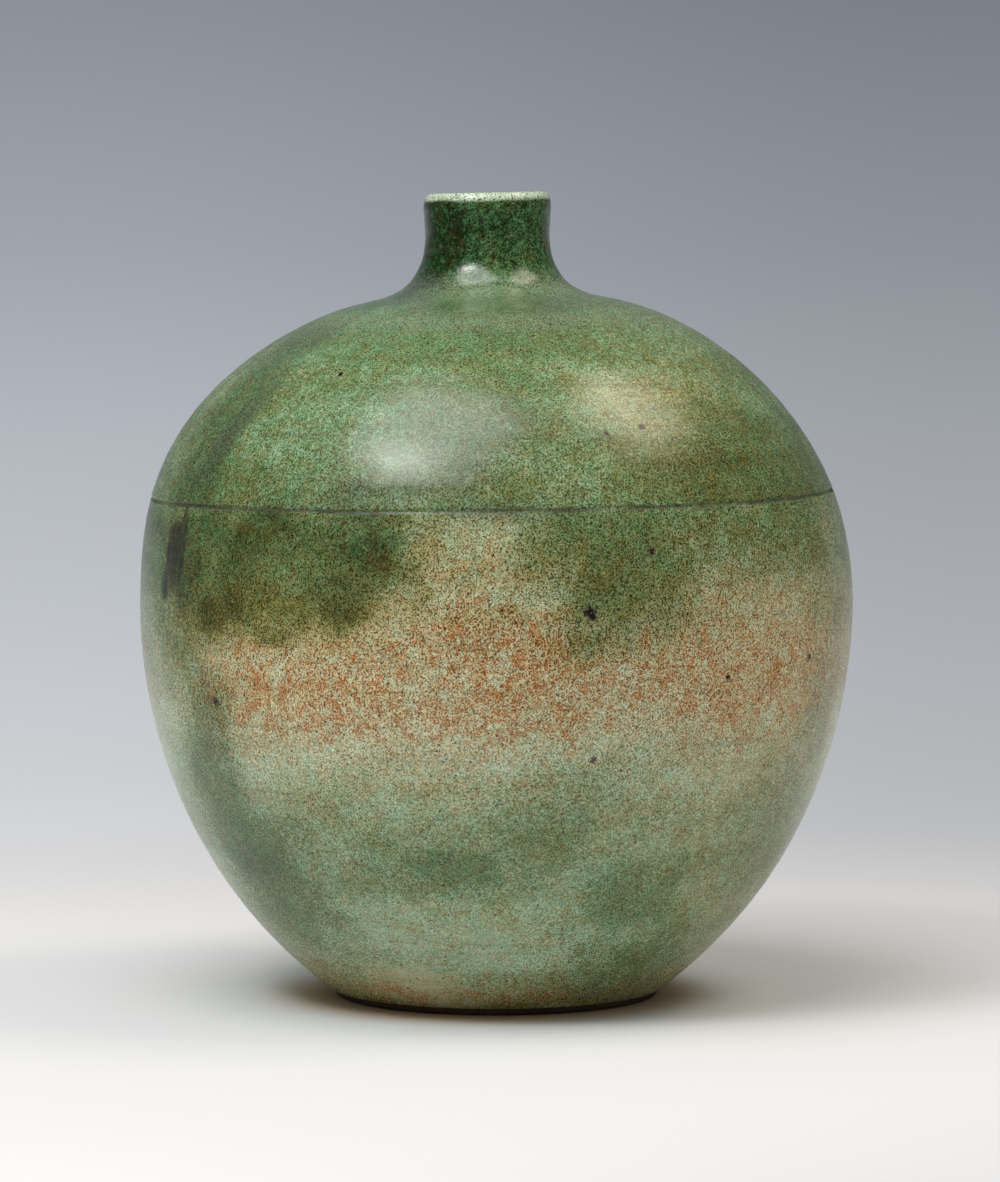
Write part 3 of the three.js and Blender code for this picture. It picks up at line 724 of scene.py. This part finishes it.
# Patches of the glaze: mask, azimuth, height, width, tall, strength, edge, fray, lump, lean
PATCHES = [
    # The cloud left of the middle under the seam, dark to its ragged lower edge
    ("copper", -37, 132.5, 84, 37, 0.30, 0.20, 0.26, 9, 0),
    ("copper", -54, 117, 48, 18, 0.14, 0.5, 0.35, 7, 0),
    ("copper", -60, 112, 40, 22, 0.05, 0.5, 0.3, 8, 0),
    ("rust", -66, 104, 46, 50, -0.32, 0.5, 0.3, 8, 0),
    ("copper", -23, 118, 16, 12, 0.14, 0.5, 0.4, 5, 0),
    ("copper", -42, 140, 13, 9, 0.07, 0.5, 0.4, 5, 0),
    ("copper", -45, 132, 13, 11, 0.07, 0.5, 0.4, 5, 0),
    ("copper", -27, 133, 14, 11, 0.07, 0.5, 0.4, 5, 0),
    ("copper", -24, 125, 13, 12, 0.07, 0.5, 0.4, 5, 0),
    ("copper", -21, 137, 12, 10, 0.08, 0.5, 0.4, 5, 0),
    ("copper", -17, 142, 14, 9, 0.08, 0.5, 0.4, 5, 0),
    ("copper", -37, 113, 12, 5, 0.10, 0.5, 0.4, 4, 0),
    # The sides of the belly
    ("copper", -80, 124, 70, 60, 0.26, 0.5, 0.3, 12, 0),
    ("copper", 78, 110, 60, 60, 0.16, 0.5, 0.3, 12, 0),
    ("copper", -62, 88, 40, 36, 0.14, 0.5, 0.3, 12, 0),
    # The cloud on the right
    ("copper", 21, 133, 40, 38, 0.25, 0.7, 0.4, 8, 0),
    ("copper", 16, 118, 24, 20, 0.14, 0.5, 0.4, 8, 0),
    ("copper", 50, 141, 60, 22, 0.14, 0.5, 0.3, 10, 0),
    # The pale gap between them, and the pale ground on the right
    ("copper", -3, 136, 26, 26, -0.12, 0.4, 0.3, 9, 0),
    ("copper", 46, 124, 34, 18, -0.04, 0.5, 0.3, 9, 0),
    # The dome
    ("copper", 52, 160, 90, 30, 0.12, 0.5, 0.3, 12, 0),
    ("copper", -60, 170, 26, 44, 0.16, 0.5, 0.3, 10, 0),
    ("copper", -30, 197, 60, 12, 0.06, 0.5, 0.3, 9, 0),
    ("copper", 5, 198, 40, 8, 0.05, 0.5, 0.3, 9, 0),
    ("copper", 31, 180, 32, 17, -0.13, 0.5, 0.3, 8, 0),
    ("copper", -2, 178, 50, 26, 0.06, 0.6, 0.35, 9, 0),
    # The lower bowl
    ("copper", -54, 66, 30, 74, 0.17, 0.5, 0.35, 12, 0),
    ("copper", -52, 88, 14, 20, 0.09, 0.5, 0.4, 6, 0.3),
    ("rust", -52.5, 97, 8, 8, 0.35, 0.5, 0.4, 5, 0),
    ("rust", -29, 5, 24, 8, 0.36, 0.5, 0.4, 5, 0),
    ("rust", 12, 5, 30, 9, 0.36, 0.5, 0.4, 5, 0),
    ("copper", -66, 98, 22, 30, -0.10, 0.5, 0.3, 9, 0),
    ("copper", 12, 74, 30, 14, 0.10, 0.5, 0.4, 8, 0),
    ("copper", 66, 98, 30, 40, 0.10, 0.5, 0.4, 9, 0),
    ("copper", -24, 9, 28, 13, -0.26, 0.5, 0.4, 6, 0),
    ("copper", 42, 12, 36, 18, 0.13, 0.5, 0.4, 6, 0),
    ("copper", -48, 38, 34, 36, 0.09, 0.5, 0.35, 12, 0),
    ("copper", 9, 60, 28, 18, 0.10, 0.5, 0.4, 9, 0),
    ("copper", -7, 49, 20, 10, 0.16, 0.5, 0.4, 8, 0),
    ("copper", 36, 72, 34, 16, -0.06, 0.5, 0.4, 8, 0),
    ("copper", 30, 38, 30, 20, 0.16, 0.5, 0.4, 9, 0),
    ("copper", 34, 20, 40, 22, 0.14, 0.5, 0.4, 9, 0),
    ("copper", -10, 28, 60, 16, -0.10, 0.5, 0.4, 9, 0),
    ("copper", 58, 60, 40, 60, 0.06, 0.5, 0.4, 12, 0),
    # Round the back
    ("copper", 118, 132, 80, 36, 0.30, 0.4, 0.35, 12, 0),
    ("copper", -150, 128, 100, 42, 0.28, 0.4, 0.35, 13, 0),
    ("copper", 170, 60, 80, 30, 0.15, 0.5, 0.35, 12, 0),
    # Rust
    ("rust", 0, 114, 36, 20, 0.26, 0.6, 0.4, 10, 0),
    ("rust", -30, 98, 50, 20, 0.14, 0.6, 0.4, 10, 0),
    ("rust", 4, 95, 60, 22, 0.14, 0.6, 0.4, 10, 0),
    ("rust", 42, 98, 70, 34, 0.14, 0.6, 0.4, 11, 0),
    ("rust", 0, 136, 30, 24, 0.10, 0.6, 0.4, 9, 0),
    ("rust", 150, 100, 120, 26, 0.30, 0.6, 0.4, 11, 0),
    ("rust", -110, 96, 70, 26, 0.22, 0.6, 0.4, 11, 0),
    # Warm and cool ground
    ("warm", 50, 182, 34, 20, 0.34, 0.6, 0.3, 10, 0),
    ("warm", 30, 174, 40, 26, 0.25, 0.6, 0.3, 10, 0),
    ("warm", 50, 155, 70, 34, 0.25, 0.6, 0.3, 10, 0),
    ("warm", -35, 119, 74, 18, 0.20, 0.6, 0.3, 10, 0),
    ("warm", 52, 62, 66, 90, 0.24, 0.6, 0.3, 12, 0),
    ("warm", -30, 164, 60, 36, -0.16, 0.6, 0.3, 10, 0),
    ("warm", -80, 110, 70, 90, -0.3, 0.6, 0.3, 12, 0),
    ("warm", 0, 30, 90, 40, -0.12, 0.6, 0.3, 12, 0),
    # Kiln smoke. The second and third are partly painted shade as well: they darken the dome
    # under and beside the left lamp's highlight.
    ("smoke_and_shade", -54.5, 173, 9, 27, 0.55, 0.6, 0.4, 7, 0.35),
    ("smoke_and_shade", -20, 157, 46, 9, 0.38, 0.6, 0.4, 8, 0),
    ("smoke_and_shade", -4, 170, 30, 20, 0.30, 0.7, 0.4, 8, 0),
    ("smoke_and_shade", -64, 196, 30, 12, 0.35, 0.6, 0.4, 9, 0),
    ("smoke_and_shade", -20, 143, 20, 8, 0.08, 0.6, 0.4, 8, 0),
    ("smoke_and_shade", -53, 84, 12, 30, 0.22, 0.6, 0.4, 8, 0),
    ("smoke_and_shade", -48, 52, 34, 34, 0.12, 0.6, 0.4, 12, 0),
    # The dark run under the seam on the left, the line beside it, and its tail
    ("smoke_and_shade", -62.5, 138, 8, 20, 0.15, 0.25, 0.45, 3.5, 0.12),
    ("copper", -62.5, 138, 8, 20, 0.32, 0.25, 0.45, 3.5, 0.12),
    ("warm", -62.5, 138, 10, 22, 0.40, 0.25, 0.35, 4, 0.12),
    ("smoke_and_shade", -59.8, 140, 2.8, 21, 0.3, 0.4, 0.25, 5, 0),
    ("copper", -59.8, 140, 2.8, 21, 0.40, 0.4, 0.25, 5, 0),
    ("copper", -65.5, 126, 4, 7, 0.40, 0.5, 0.3, 4, 0),
    # The root of the neck, and copper pooled down the neck's left side
    ("smoke_and_shade", 5, 207, 50, 5, 0.34, 0.5, 0.3, 8, 0),
    ("copper", -56, 226, 20, 32, 0.34, 0.5, 0.3, 6, 0),
]


def glaze_masks(place):
    """How much copper, rust, warmth and so on the glaze holds at each vertex."""
    h = place.height
    points = place.points
    wide = noise(points, *WIDE)
    medium = noise(points, *MEDIUM)
    streak = noise(points, *LEVEL_STREAK)
    plain_copper = np.interp(h, *zip(*COPPER_BY_HEIGHT))
    by_wide, by_medium, by_streak = COPPER_STIR
    warm_by_medium, warm_by_streak = WARM_STIR
    band = smooth(np.abs(h - RUST_BAND_HEIGHT - RUST_BAND_WANDER * wide), *RUST_BAND_REACH)
    rust = RUST_EVERYWHERE + RUST_BAND * band + RUST_OVER_BAND * smooth(h, *OVER_BAND)
    rust = rust - RUST_LOST_UP_NECK * smooth(h, *UP_NECK)
    masks = {
        "copper": plain_copper + by_wide * wide + by_medium * medium + by_streak * streak,
        "warm": np.interp(h, *zip(*WARM_BY_HEIGHT)) + warm_by_medium * medium + warm_by_streak * streak,
        "rust": rust + RUST_STIR * medium,
        "coarse": smooth(h, *COARSE_FROM),
        "gloss": smooth(h, *GLOSS_FROM),
        "veil": (VEIL_MEAN + VEIL_STREAK * streak) * smooth(h, *VEIL_FROM) * smooth(h, *VEIL_UNTIL),
        "smoke_and_shade": 0 * h,
    }
    for number, patch in enumerate(PATCHES):
        mask, azimuth, height, width, tall, strength, edge, fray, lump, lean = patch
        blot = place.blot(azimuth, height, width, tall, edge, fray, lump, FIRST_PATCH_SEED + number, lean)
        # Bowl and dome were glazed alike but not together, so a patch stays on its side of the seam
        cut = SEAM_CUT if height > SEAM_HEIGHT else -SEAM_CUT
        blot = blot * smooth(h, SEAM_HEIGHT - cut, SEAM_HEIGHT + cut)
        masks[mask] = masks[mask] + strength * blot
    added = masks["copper"] - plain_copper
    masks["grain"] = np.interp(h, *zip(*GRAIN_BY_HEIGHT)) + GRAIN_PER_COPPER * added
    seam_distance = np.abs(h - SEAM_HEIGHT + LINE_DROP - SEAM_WOBBLE * noise(points, *SEAM_WANDER))
    line = smooth(seam_distance, *LINE_EDGE)
    # Painted shade round the seam, in gaps, darkens the glaze there through the smoke mask
    painted_seam_shade = smooth(seam_distance, *SEAM_SHADE_REACH) * smooth(noise(points, *SEAM_SHADE_LUMPS), *SEAM_SHADE_GAPS)
    masks["smoke_and_shade"] = masks["smoke_and_shade"] + SEAM_SHADE_STRENGTH * painted_seam_shade
    darker = DARKER * line * smooth(np.abs(place.across(DARKER_AZIMUTH)), *DARKER_REACH)
    masks["seam"] = line * (LINE_MEAN + LINE_SWING * noise(points, *SEAM_FADE)) + darker
    lip_edge = HEIGHT - LIP_GLAZE_DROP + LIP_GLAZE_WANDER * noise(points, *LIP_WANDER)
    masks["thin"] = smooth(h, lip_edge - LIP_GLAZE_BELOW, lip_edge + LIP_GLAZE_ABOVE)
    return masks


def outer_glaze(material):
    """The glaze coat over the outside, from just above the foot to the crown of the lip."""
    surface = outside.at(outer_rows())
    back = outside.at(back_rows(), GLAZE)
    place = Place(np.concatenate([surface, back]))
    on_surface = np.concatenate([np.ones(len(surface)), np.zeros(len(back))])[:, None]
    points = place.points
    h = place.height
    inward = smooth(h, BELLY_HEIGHT + BELLY_REACH, BELLY_HEIGHT + BELLY_FULL)
    inward = inward * smooth(h, BELLY_HEIGHT - BELLY_REACH, BELLY_HEIGHT - BELLY_FULL)
    lumps = BODY_LUMP * noise(points, *BODY_LUMPS) + SKIN_LUMP * noise(points, *SKIN_LUMPS)
    shifted = h + RING_SHIFT * noise(points, *RING_WANDER)
    rings = RING_DEPTH * np.sin(2 * np.pi * shifted / RING_SPACING)
    bead = ROOT_BEAD * np.exp(-((h - ROOT_BEAD_HEIGHT) / ROOT_BEAD_WIDTH) ** 2)
    dip = ROOT_DIP * np.exp(-((h - ROOT_DIP_HEIGHT) / ROOT_DIP_WIDTH) ** 2)
    rings += bead - dip
    offset = h - SEAM_HEIGHT - SEAM_WOBBLE * noise(points, *SEAM_WANDER)
    groove = -GROOVE_DEPTH * np.exp(-(offset / GROOVE_HALF_WIDTH) ** 2)
    groove += SWELL * smooth(offset, *SWELL_START) * smooth(offset, *SWELL_END)
    fade = smooth(h, GLAZE_EDGE_HEIGHT, GLAZE_EDGE_HEIGHT + RELIEF_START)
    fade = fade * smooth(h, HEIGHT - RELIEF_END, HEIGHT - RELIEF_FULL)
    relief = fade * (lumps + rings) * (1 - BELLY_CALM * inward) - BELLY_SINK * inward + groove
    piece = turned("outer_glaze_coat", place, material, on_surface * relief)
    painted(piece, **glaze_masks(place))
    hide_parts("outer_glaze")


def mouth_glaze(material):
    """The thin glaze down the bore of the neck."""
    arcs = np.linspace(0, bore.length, BORE_ROWS)
    place = Place(np.concatenate([bore.at(arcs[::-1], GLAZE), bore.at(arcs)]), INNER_SEGMENTS)
    piece = turned("mouth_glaze_coat", place, material)
    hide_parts("mouth_glaze")


def base_glaze(material):
    """The thin glaze in the recess of the base. Its face is slightly uneven."""
    face = RECESS_HEIGHT - GLAZE
    inner = [(r, face) for r in np.linspace(0, RECESS_RADIUS - RECESS_FLAT_INSET, RECESS_ROWS)]
    edge = [
        (RECESS_RADIUS - RECESS_INSET, face),
        (RECESS_EDGE_RADIUS - RECESS_EDGE_INSET, RECESS_EDGE_HEIGHT - RECESS_EDGE_INSET),
        (RECESS_EDGE_RADIUS, RECESS_EDGE_HEIGHT),
        (RECESS_RADIUS, RECESS_HEIGHT),
    ]
    outline = inner + edge + [(RECESS_RADIUS / 2, RECESS_HEIGHT), (0, RECESS_HEIGHT)]
    place = Place(outline, INNER_SEGMENTS)
    free = (np.arange(len(outline)) < len(inner))[:, None]
    relief = free * BASE_RELIEF * noise(place.points, *BASE_LUMPS)
    piece = turned("base_glaze_coat", place, material, relief)
    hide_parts("base_glaze")


def foot(material):
    """The foot ring, with softened edges and a face that rests flat."""
    corners = [
        (BEARING_INNER_RADIUS, 0.0), (BEARING_OUTER_RADIUS, 0.0), *FOOT_SOFT_OUTSIDE,
        (FOOT_OUTER_RADIUS, FOOT_TOP), (FOOT_INNER_RADIUS, FOOT_TOP), *FOOT_SOFT_INSIDE,
    ]
    piece = turned("turned_foot_ring", Place(corners, FOOT_SEGMENTS), material)
    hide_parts("foot_ring")


# Floor, in metres: a disc just under the foot, and where it fades out
FLOOR_RADIUS, FLOOR_HEIGHT = 0.8, -0.0002
FLOOR_RINGS, FLOOR_SIDES = 12, 96
FLOOR_FADES = {"From Min": 0.2, "From Max": 0.5}
# Its tone near the camera and far from it. Further to the right counts as further away.
# This is painted shade: the paper is darker towards the back and the right, away from the main lamp.
FLOOR_NEAR, FLOOR_FAR = "#e0e0e0", "#cdcdce"
FLOOR_DARKENS = {"From Min": 0.02, "From Max": 0.36}
RIGHT_SHARE = 0.6
# A warm tint of the paper round the foot. It is painted and not lit, and stands for the warm
# contact shadow in the photograph.
CONTACT_TINT = "#cdb798"
CONTACT_SHOWS = {"From Min": 0.074, "From Max": 0.050}


def stage_floor():
    """A pale paper floor that fades into the light backdrop round it."""
    points = [(0.0, 0.0, FLOOR_HEIGHT)]
    for ring in range(1, FLOOR_RINGS + 1):
        reach = FLOOR_RADIUS * ring / FLOOR_RINGS
        for side in range(FLOOR_SIDES):
            turn = 2 * math.pi * side / FLOOR_SIDES
            points.append((reach * math.cos(turn), reach * math.sin(turn), FLOOR_HEIGHT))
    pairs = [(s, (s + 1) % FLOOR_SIDES) for s in range(FLOOR_SIDES)]
    faces = [(0, 1 + s, 1 + following) for s, following in pairs]
    for ring in range(1, FLOOR_RINGS):
        inner = 1 + (ring - 1) * FLOOR_SIDES
        outer = inner + FLOOR_SIDES
        faces += [(inner + s, outer + s, outer + following, inner + following) for s, following in pairs]
    mesh = bpy.data.meshes.new("paper_floor")
    mesh.from_pydata(points, [], faces)
    floor = linked("paper_floor", mesh)
    material, tree = new_material("matt_white_paper")
    where = node(tree, "ShaderNodeTexCoord").outputs["Object"]
    away = node(tree, "ShaderNodeVectorMath", {0: where}, operation="LENGTH").outputs["Value"]
    fade = node(tree, "ShaderNodeMapRange", {
        "Value": away, **FLOOR_FADES}, interpolation_type="SMOOTHSTEP").outputs["Result"]
    parts = node(tree, "ShaderNodeSeparateXYZ", {0: where}).outputs
    # Painted shade: the paper darkens towards the back and the right
    back = node(tree, "ShaderNodeMath", {
        0: parts["X"], 1: RIGHT_SHARE, 2: parts["Y"]}, operation="MULTIPLY_ADD").outputs[0]
    back = node(tree, "ShaderNodeMapRange", {"Value": back, **FLOOR_DARKENS}).outputs["Result"]
    tone = node(tree, "ShaderNodeMix", {
        "Factor": back, "A": linear(FLOOR_NEAR), "B": linear(FLOOR_FAR)},
        data_type="RGBA").outputs["Result"]
    under = node(tree, "ShaderNodeMapRange", {
        "Value": away, **CONTACT_SHOWS}, interpolation_type="SMOOTHSTEP").outputs["Result"]
    tone = node(tree, "ShaderNodeMix", {
        "Factor": under, "A": tone, "B": linear(CONTACT_TINT)},
        data_type="RGBA", blend_type="MULTIPLY").outputs["Result"]
    paper = node(tree, "ShaderNodeBsdfDiffuse", {"Color": tone}).outputs["BSDF"]
    clear = node(tree, "ShaderNodeBsdfTransparent").outputs["BSDF"]
    # Seen from beneath the paper is clear, so that a low view shows the vase
    beneath = node(tree, "ShaderNodeNewGeometry").outputs["Backfacing"]
    unseen = node(tree, "ShaderNodeMath", {0: fade, 1: beneath}, operation="MAXIMUM").outputs[0]
    mixed = node(tree, "ShaderNodeMixShader", {0: unseen, 1: paper, 2: clear}).outputs["Shader"]
    node(tree, "ShaderNodeOutputMaterial", {"Surface": mixed})
    mesh.materials.append(material)


# Backdrop tones against the height of the line of sight, from below the horizon to above it
BACKDROP = [
    (-0.170, "#f4f3f2"),
    (-0.143, "#e3e3e3"),
    (-0.122, "#d0d0d1"),
    (-0.105, "#c3c5c8"),
    (-0.075, "#b6babf"),
    (-0.042, "#a9adb4"),
    (-0.012, "#989ca4"),
    (0.030, "#858991"),
    (0.120, "#70747b"),
]
# The backdrop is lighter on the left than on the right
BACKDROP_SIDES = {"From Min": -0.09, "From Max": 0.09, "To Min": 1.13, "To Max": 0.86}
SKY_LIGHT, SKY_TONE = 0.44, "#fbfcff"
# What the glaze mirrors away from the backdrop: the unlit room beside and behind the camera
ROOM_TONE = 0.12
ROOM_ENDS = {"From Min": 0.2, "From Max": 0.95}


def studio_world():
    """A plain soft studio: even light from all round, and a backdrop that darkens upwards."""
    world = bpy.data.worlds.new("studio")
    bpy.context.scene.world = world
    world.use_nodes = True
    tree = world.node_tree
    tree.nodes.clear()
    toward = node(tree, "ShaderNodeTexCoord").outputs["Generated"]
    parts = node(tree, "ShaderNodeSeparateXYZ", {0: toward}).outputs
    low, high = BACKDROP[0][0], BACKDROP[-1][0]
    level = node(tree, "ShaderNodeMapRange", {
        "Value": parts["Z"], "From Min": low, "From Max": high}).outputs["Result"]
    ramp = node(tree, "ShaderNodeValToRGB", {0: level})
    heights, tones = zip(*BACKDROP)
    fill_ramp(ramp, [(height - low) / (high - low) for height in heights], tones)
    side = node(tree, "ShaderNodeMapRange", {
        "Value": parts["X"], **BACKDROP_SIDES}, interpolation_type="SMOOTHSTEP").outputs["Result"]
    backdrop = node(tree, "ShaderNodeMix", {
        "Factor": 1.0, "A": ramp.outputs["Color"], "B": side},
        data_type="RGBA", blend_type="MULTIPLY").outputs["Result"]
    path = node(tree, "ShaderNodeLightPath").outputs
    seen = node(tree, "ShaderNodeMath", {
        0: path["Is Camera Ray"], 1: path["Is Glossy Ray"]}, operation="MAXIMUM").outputs[0]
    seen = node(tree, "ShaderNodeMath", {
        0: seen, 1: path["Is Transmission Ray"]}, operation="MAXIMUM").outputs[0]
    behind = node(tree, "ShaderNodeMapRange", {
        "Value": parts["Y"], "To Min": ROOM_TONE, **ROOM_ENDS},
        interpolation_type="SMOOTHSTEP").outputs["Result"]
    mirrored = node(tree, "ShaderNodeMix", {
        "Factor": path["Is Glossy Ray"], "A": 1.0, "B": behind}).outputs["Result"]
    soft = node(tree, "ShaderNodeBackground", {
        "Color": linear(SKY_TONE), "Strength": SKY_LIGHT}).outputs["Background"]
    shown = node(tree, "ShaderNodeBackground", {
        "Color": backdrop, "Strength": mirrored}).outputs["Background"]
    mixed = node(tree, "ShaderNodeMixShader", {0: seen, 1: soft, 2: shown}).outputs["Shader"]
    node(tree, "ShaderNodeOutputWorld", {"Surface": mixed})


# Softboxes: name, place in metres, width, height, watts and tone. All of them aim at one point.
SOFTBOXES = [
    ("left_softbox", (-0.36, -0.45, 1.42), 0.94, 0.96, 12.4, "#ffffff"),
    ("left_lamp_core", (-0.61, -0.70, 1.22), 0.38, 0.22, 4.1, "#ffffff"),
    ("right_softbox", (0.72, -0.02, 1.37), 0.64, 0.62, 5.4, "#fff2de"),
]
LAMP_AIM = (0, 0, 0.12)

# Camera: place and aim in metres, and its lens
EYE_AWAY, EYE_HEIGHT, EYE_AIM_HEIGHT = -1.7, 0.243, 0.121
EYE_OFF_AXIS = 1.06 * MM
SENSOR_WIDTH, LENS = 36.0, 173.4


def aimed(piece, place, target):
    """Puts a lamp or camera at a place, looking at a target, both in metres."""
    piece.location = place
    away = np.array(target) - np.array(place)
    flat = math.hypot(away[0], away[1])
    piece.rotation_euler = (math.pi / 2 + math.atan2(away[2], flat), 0.0, math.atan2(-away[0], away[1]))


def softbox(name, place, width, tall, power, tone):
    light = bpy.data.lights.new(name, "AREA")
    light.shape = "RECTANGLE"
    light.size = width
    light.size_y = tall
    light.energy = power
    light.color = linear(tone)[:3]
    aimed(linked(name, light), place, LAMP_AIM)


def camera():
    """The photograph's view: level with the lip, 1.7 m away, tilted 4.1 degrees down."""
    lens = bpy.data.cameras.new("view")
    lens.sensor_fit = "AUTO"
    lens.sensor_width = SENSOR_WIDTH
    lens.lens = LENS
    eye = linked("view", lens)
    aimed(eye, (EYE_OFF_AXIS, EYE_AWAY, EYE_HEIGHT), (EYE_OFF_AXIS, 0.0, EYE_AIM_HEIGHT))
    bpy.context.scene.camera = eye


def finish_nodes(names, material):
    """Gives CAD nodes that stay as they are their finish."""
    for name in names:
        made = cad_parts[name]
        made.data.materials.clear()
        made.data.materials.append(material)


def main():
    camera()
    glaze = copper_green_glaze()
    clay = fired_clay(*STONEWARE)
    slip = fired_clay(*SLIP)
    outer_glaze(glaze)
    thin = thin_glaze()
    mouth_glaze(thin)
    base_glaze(thin)
    foot(fired_clay(*TOASTED))
    finish_nodes(("lower_bowl", "shoulder_dome", "neck_collar"), clay)
    finish_nodes(("foot_luting_slip", "shoulder_luting_slip", "neck_luting_slip"), slip)
    stage_floor()
    studio_world()
    for lamp in SOFTBOXES:
        softbox(*lamp)
    bpy.context.scene.view_settings.view_transform = "Standard"


main()
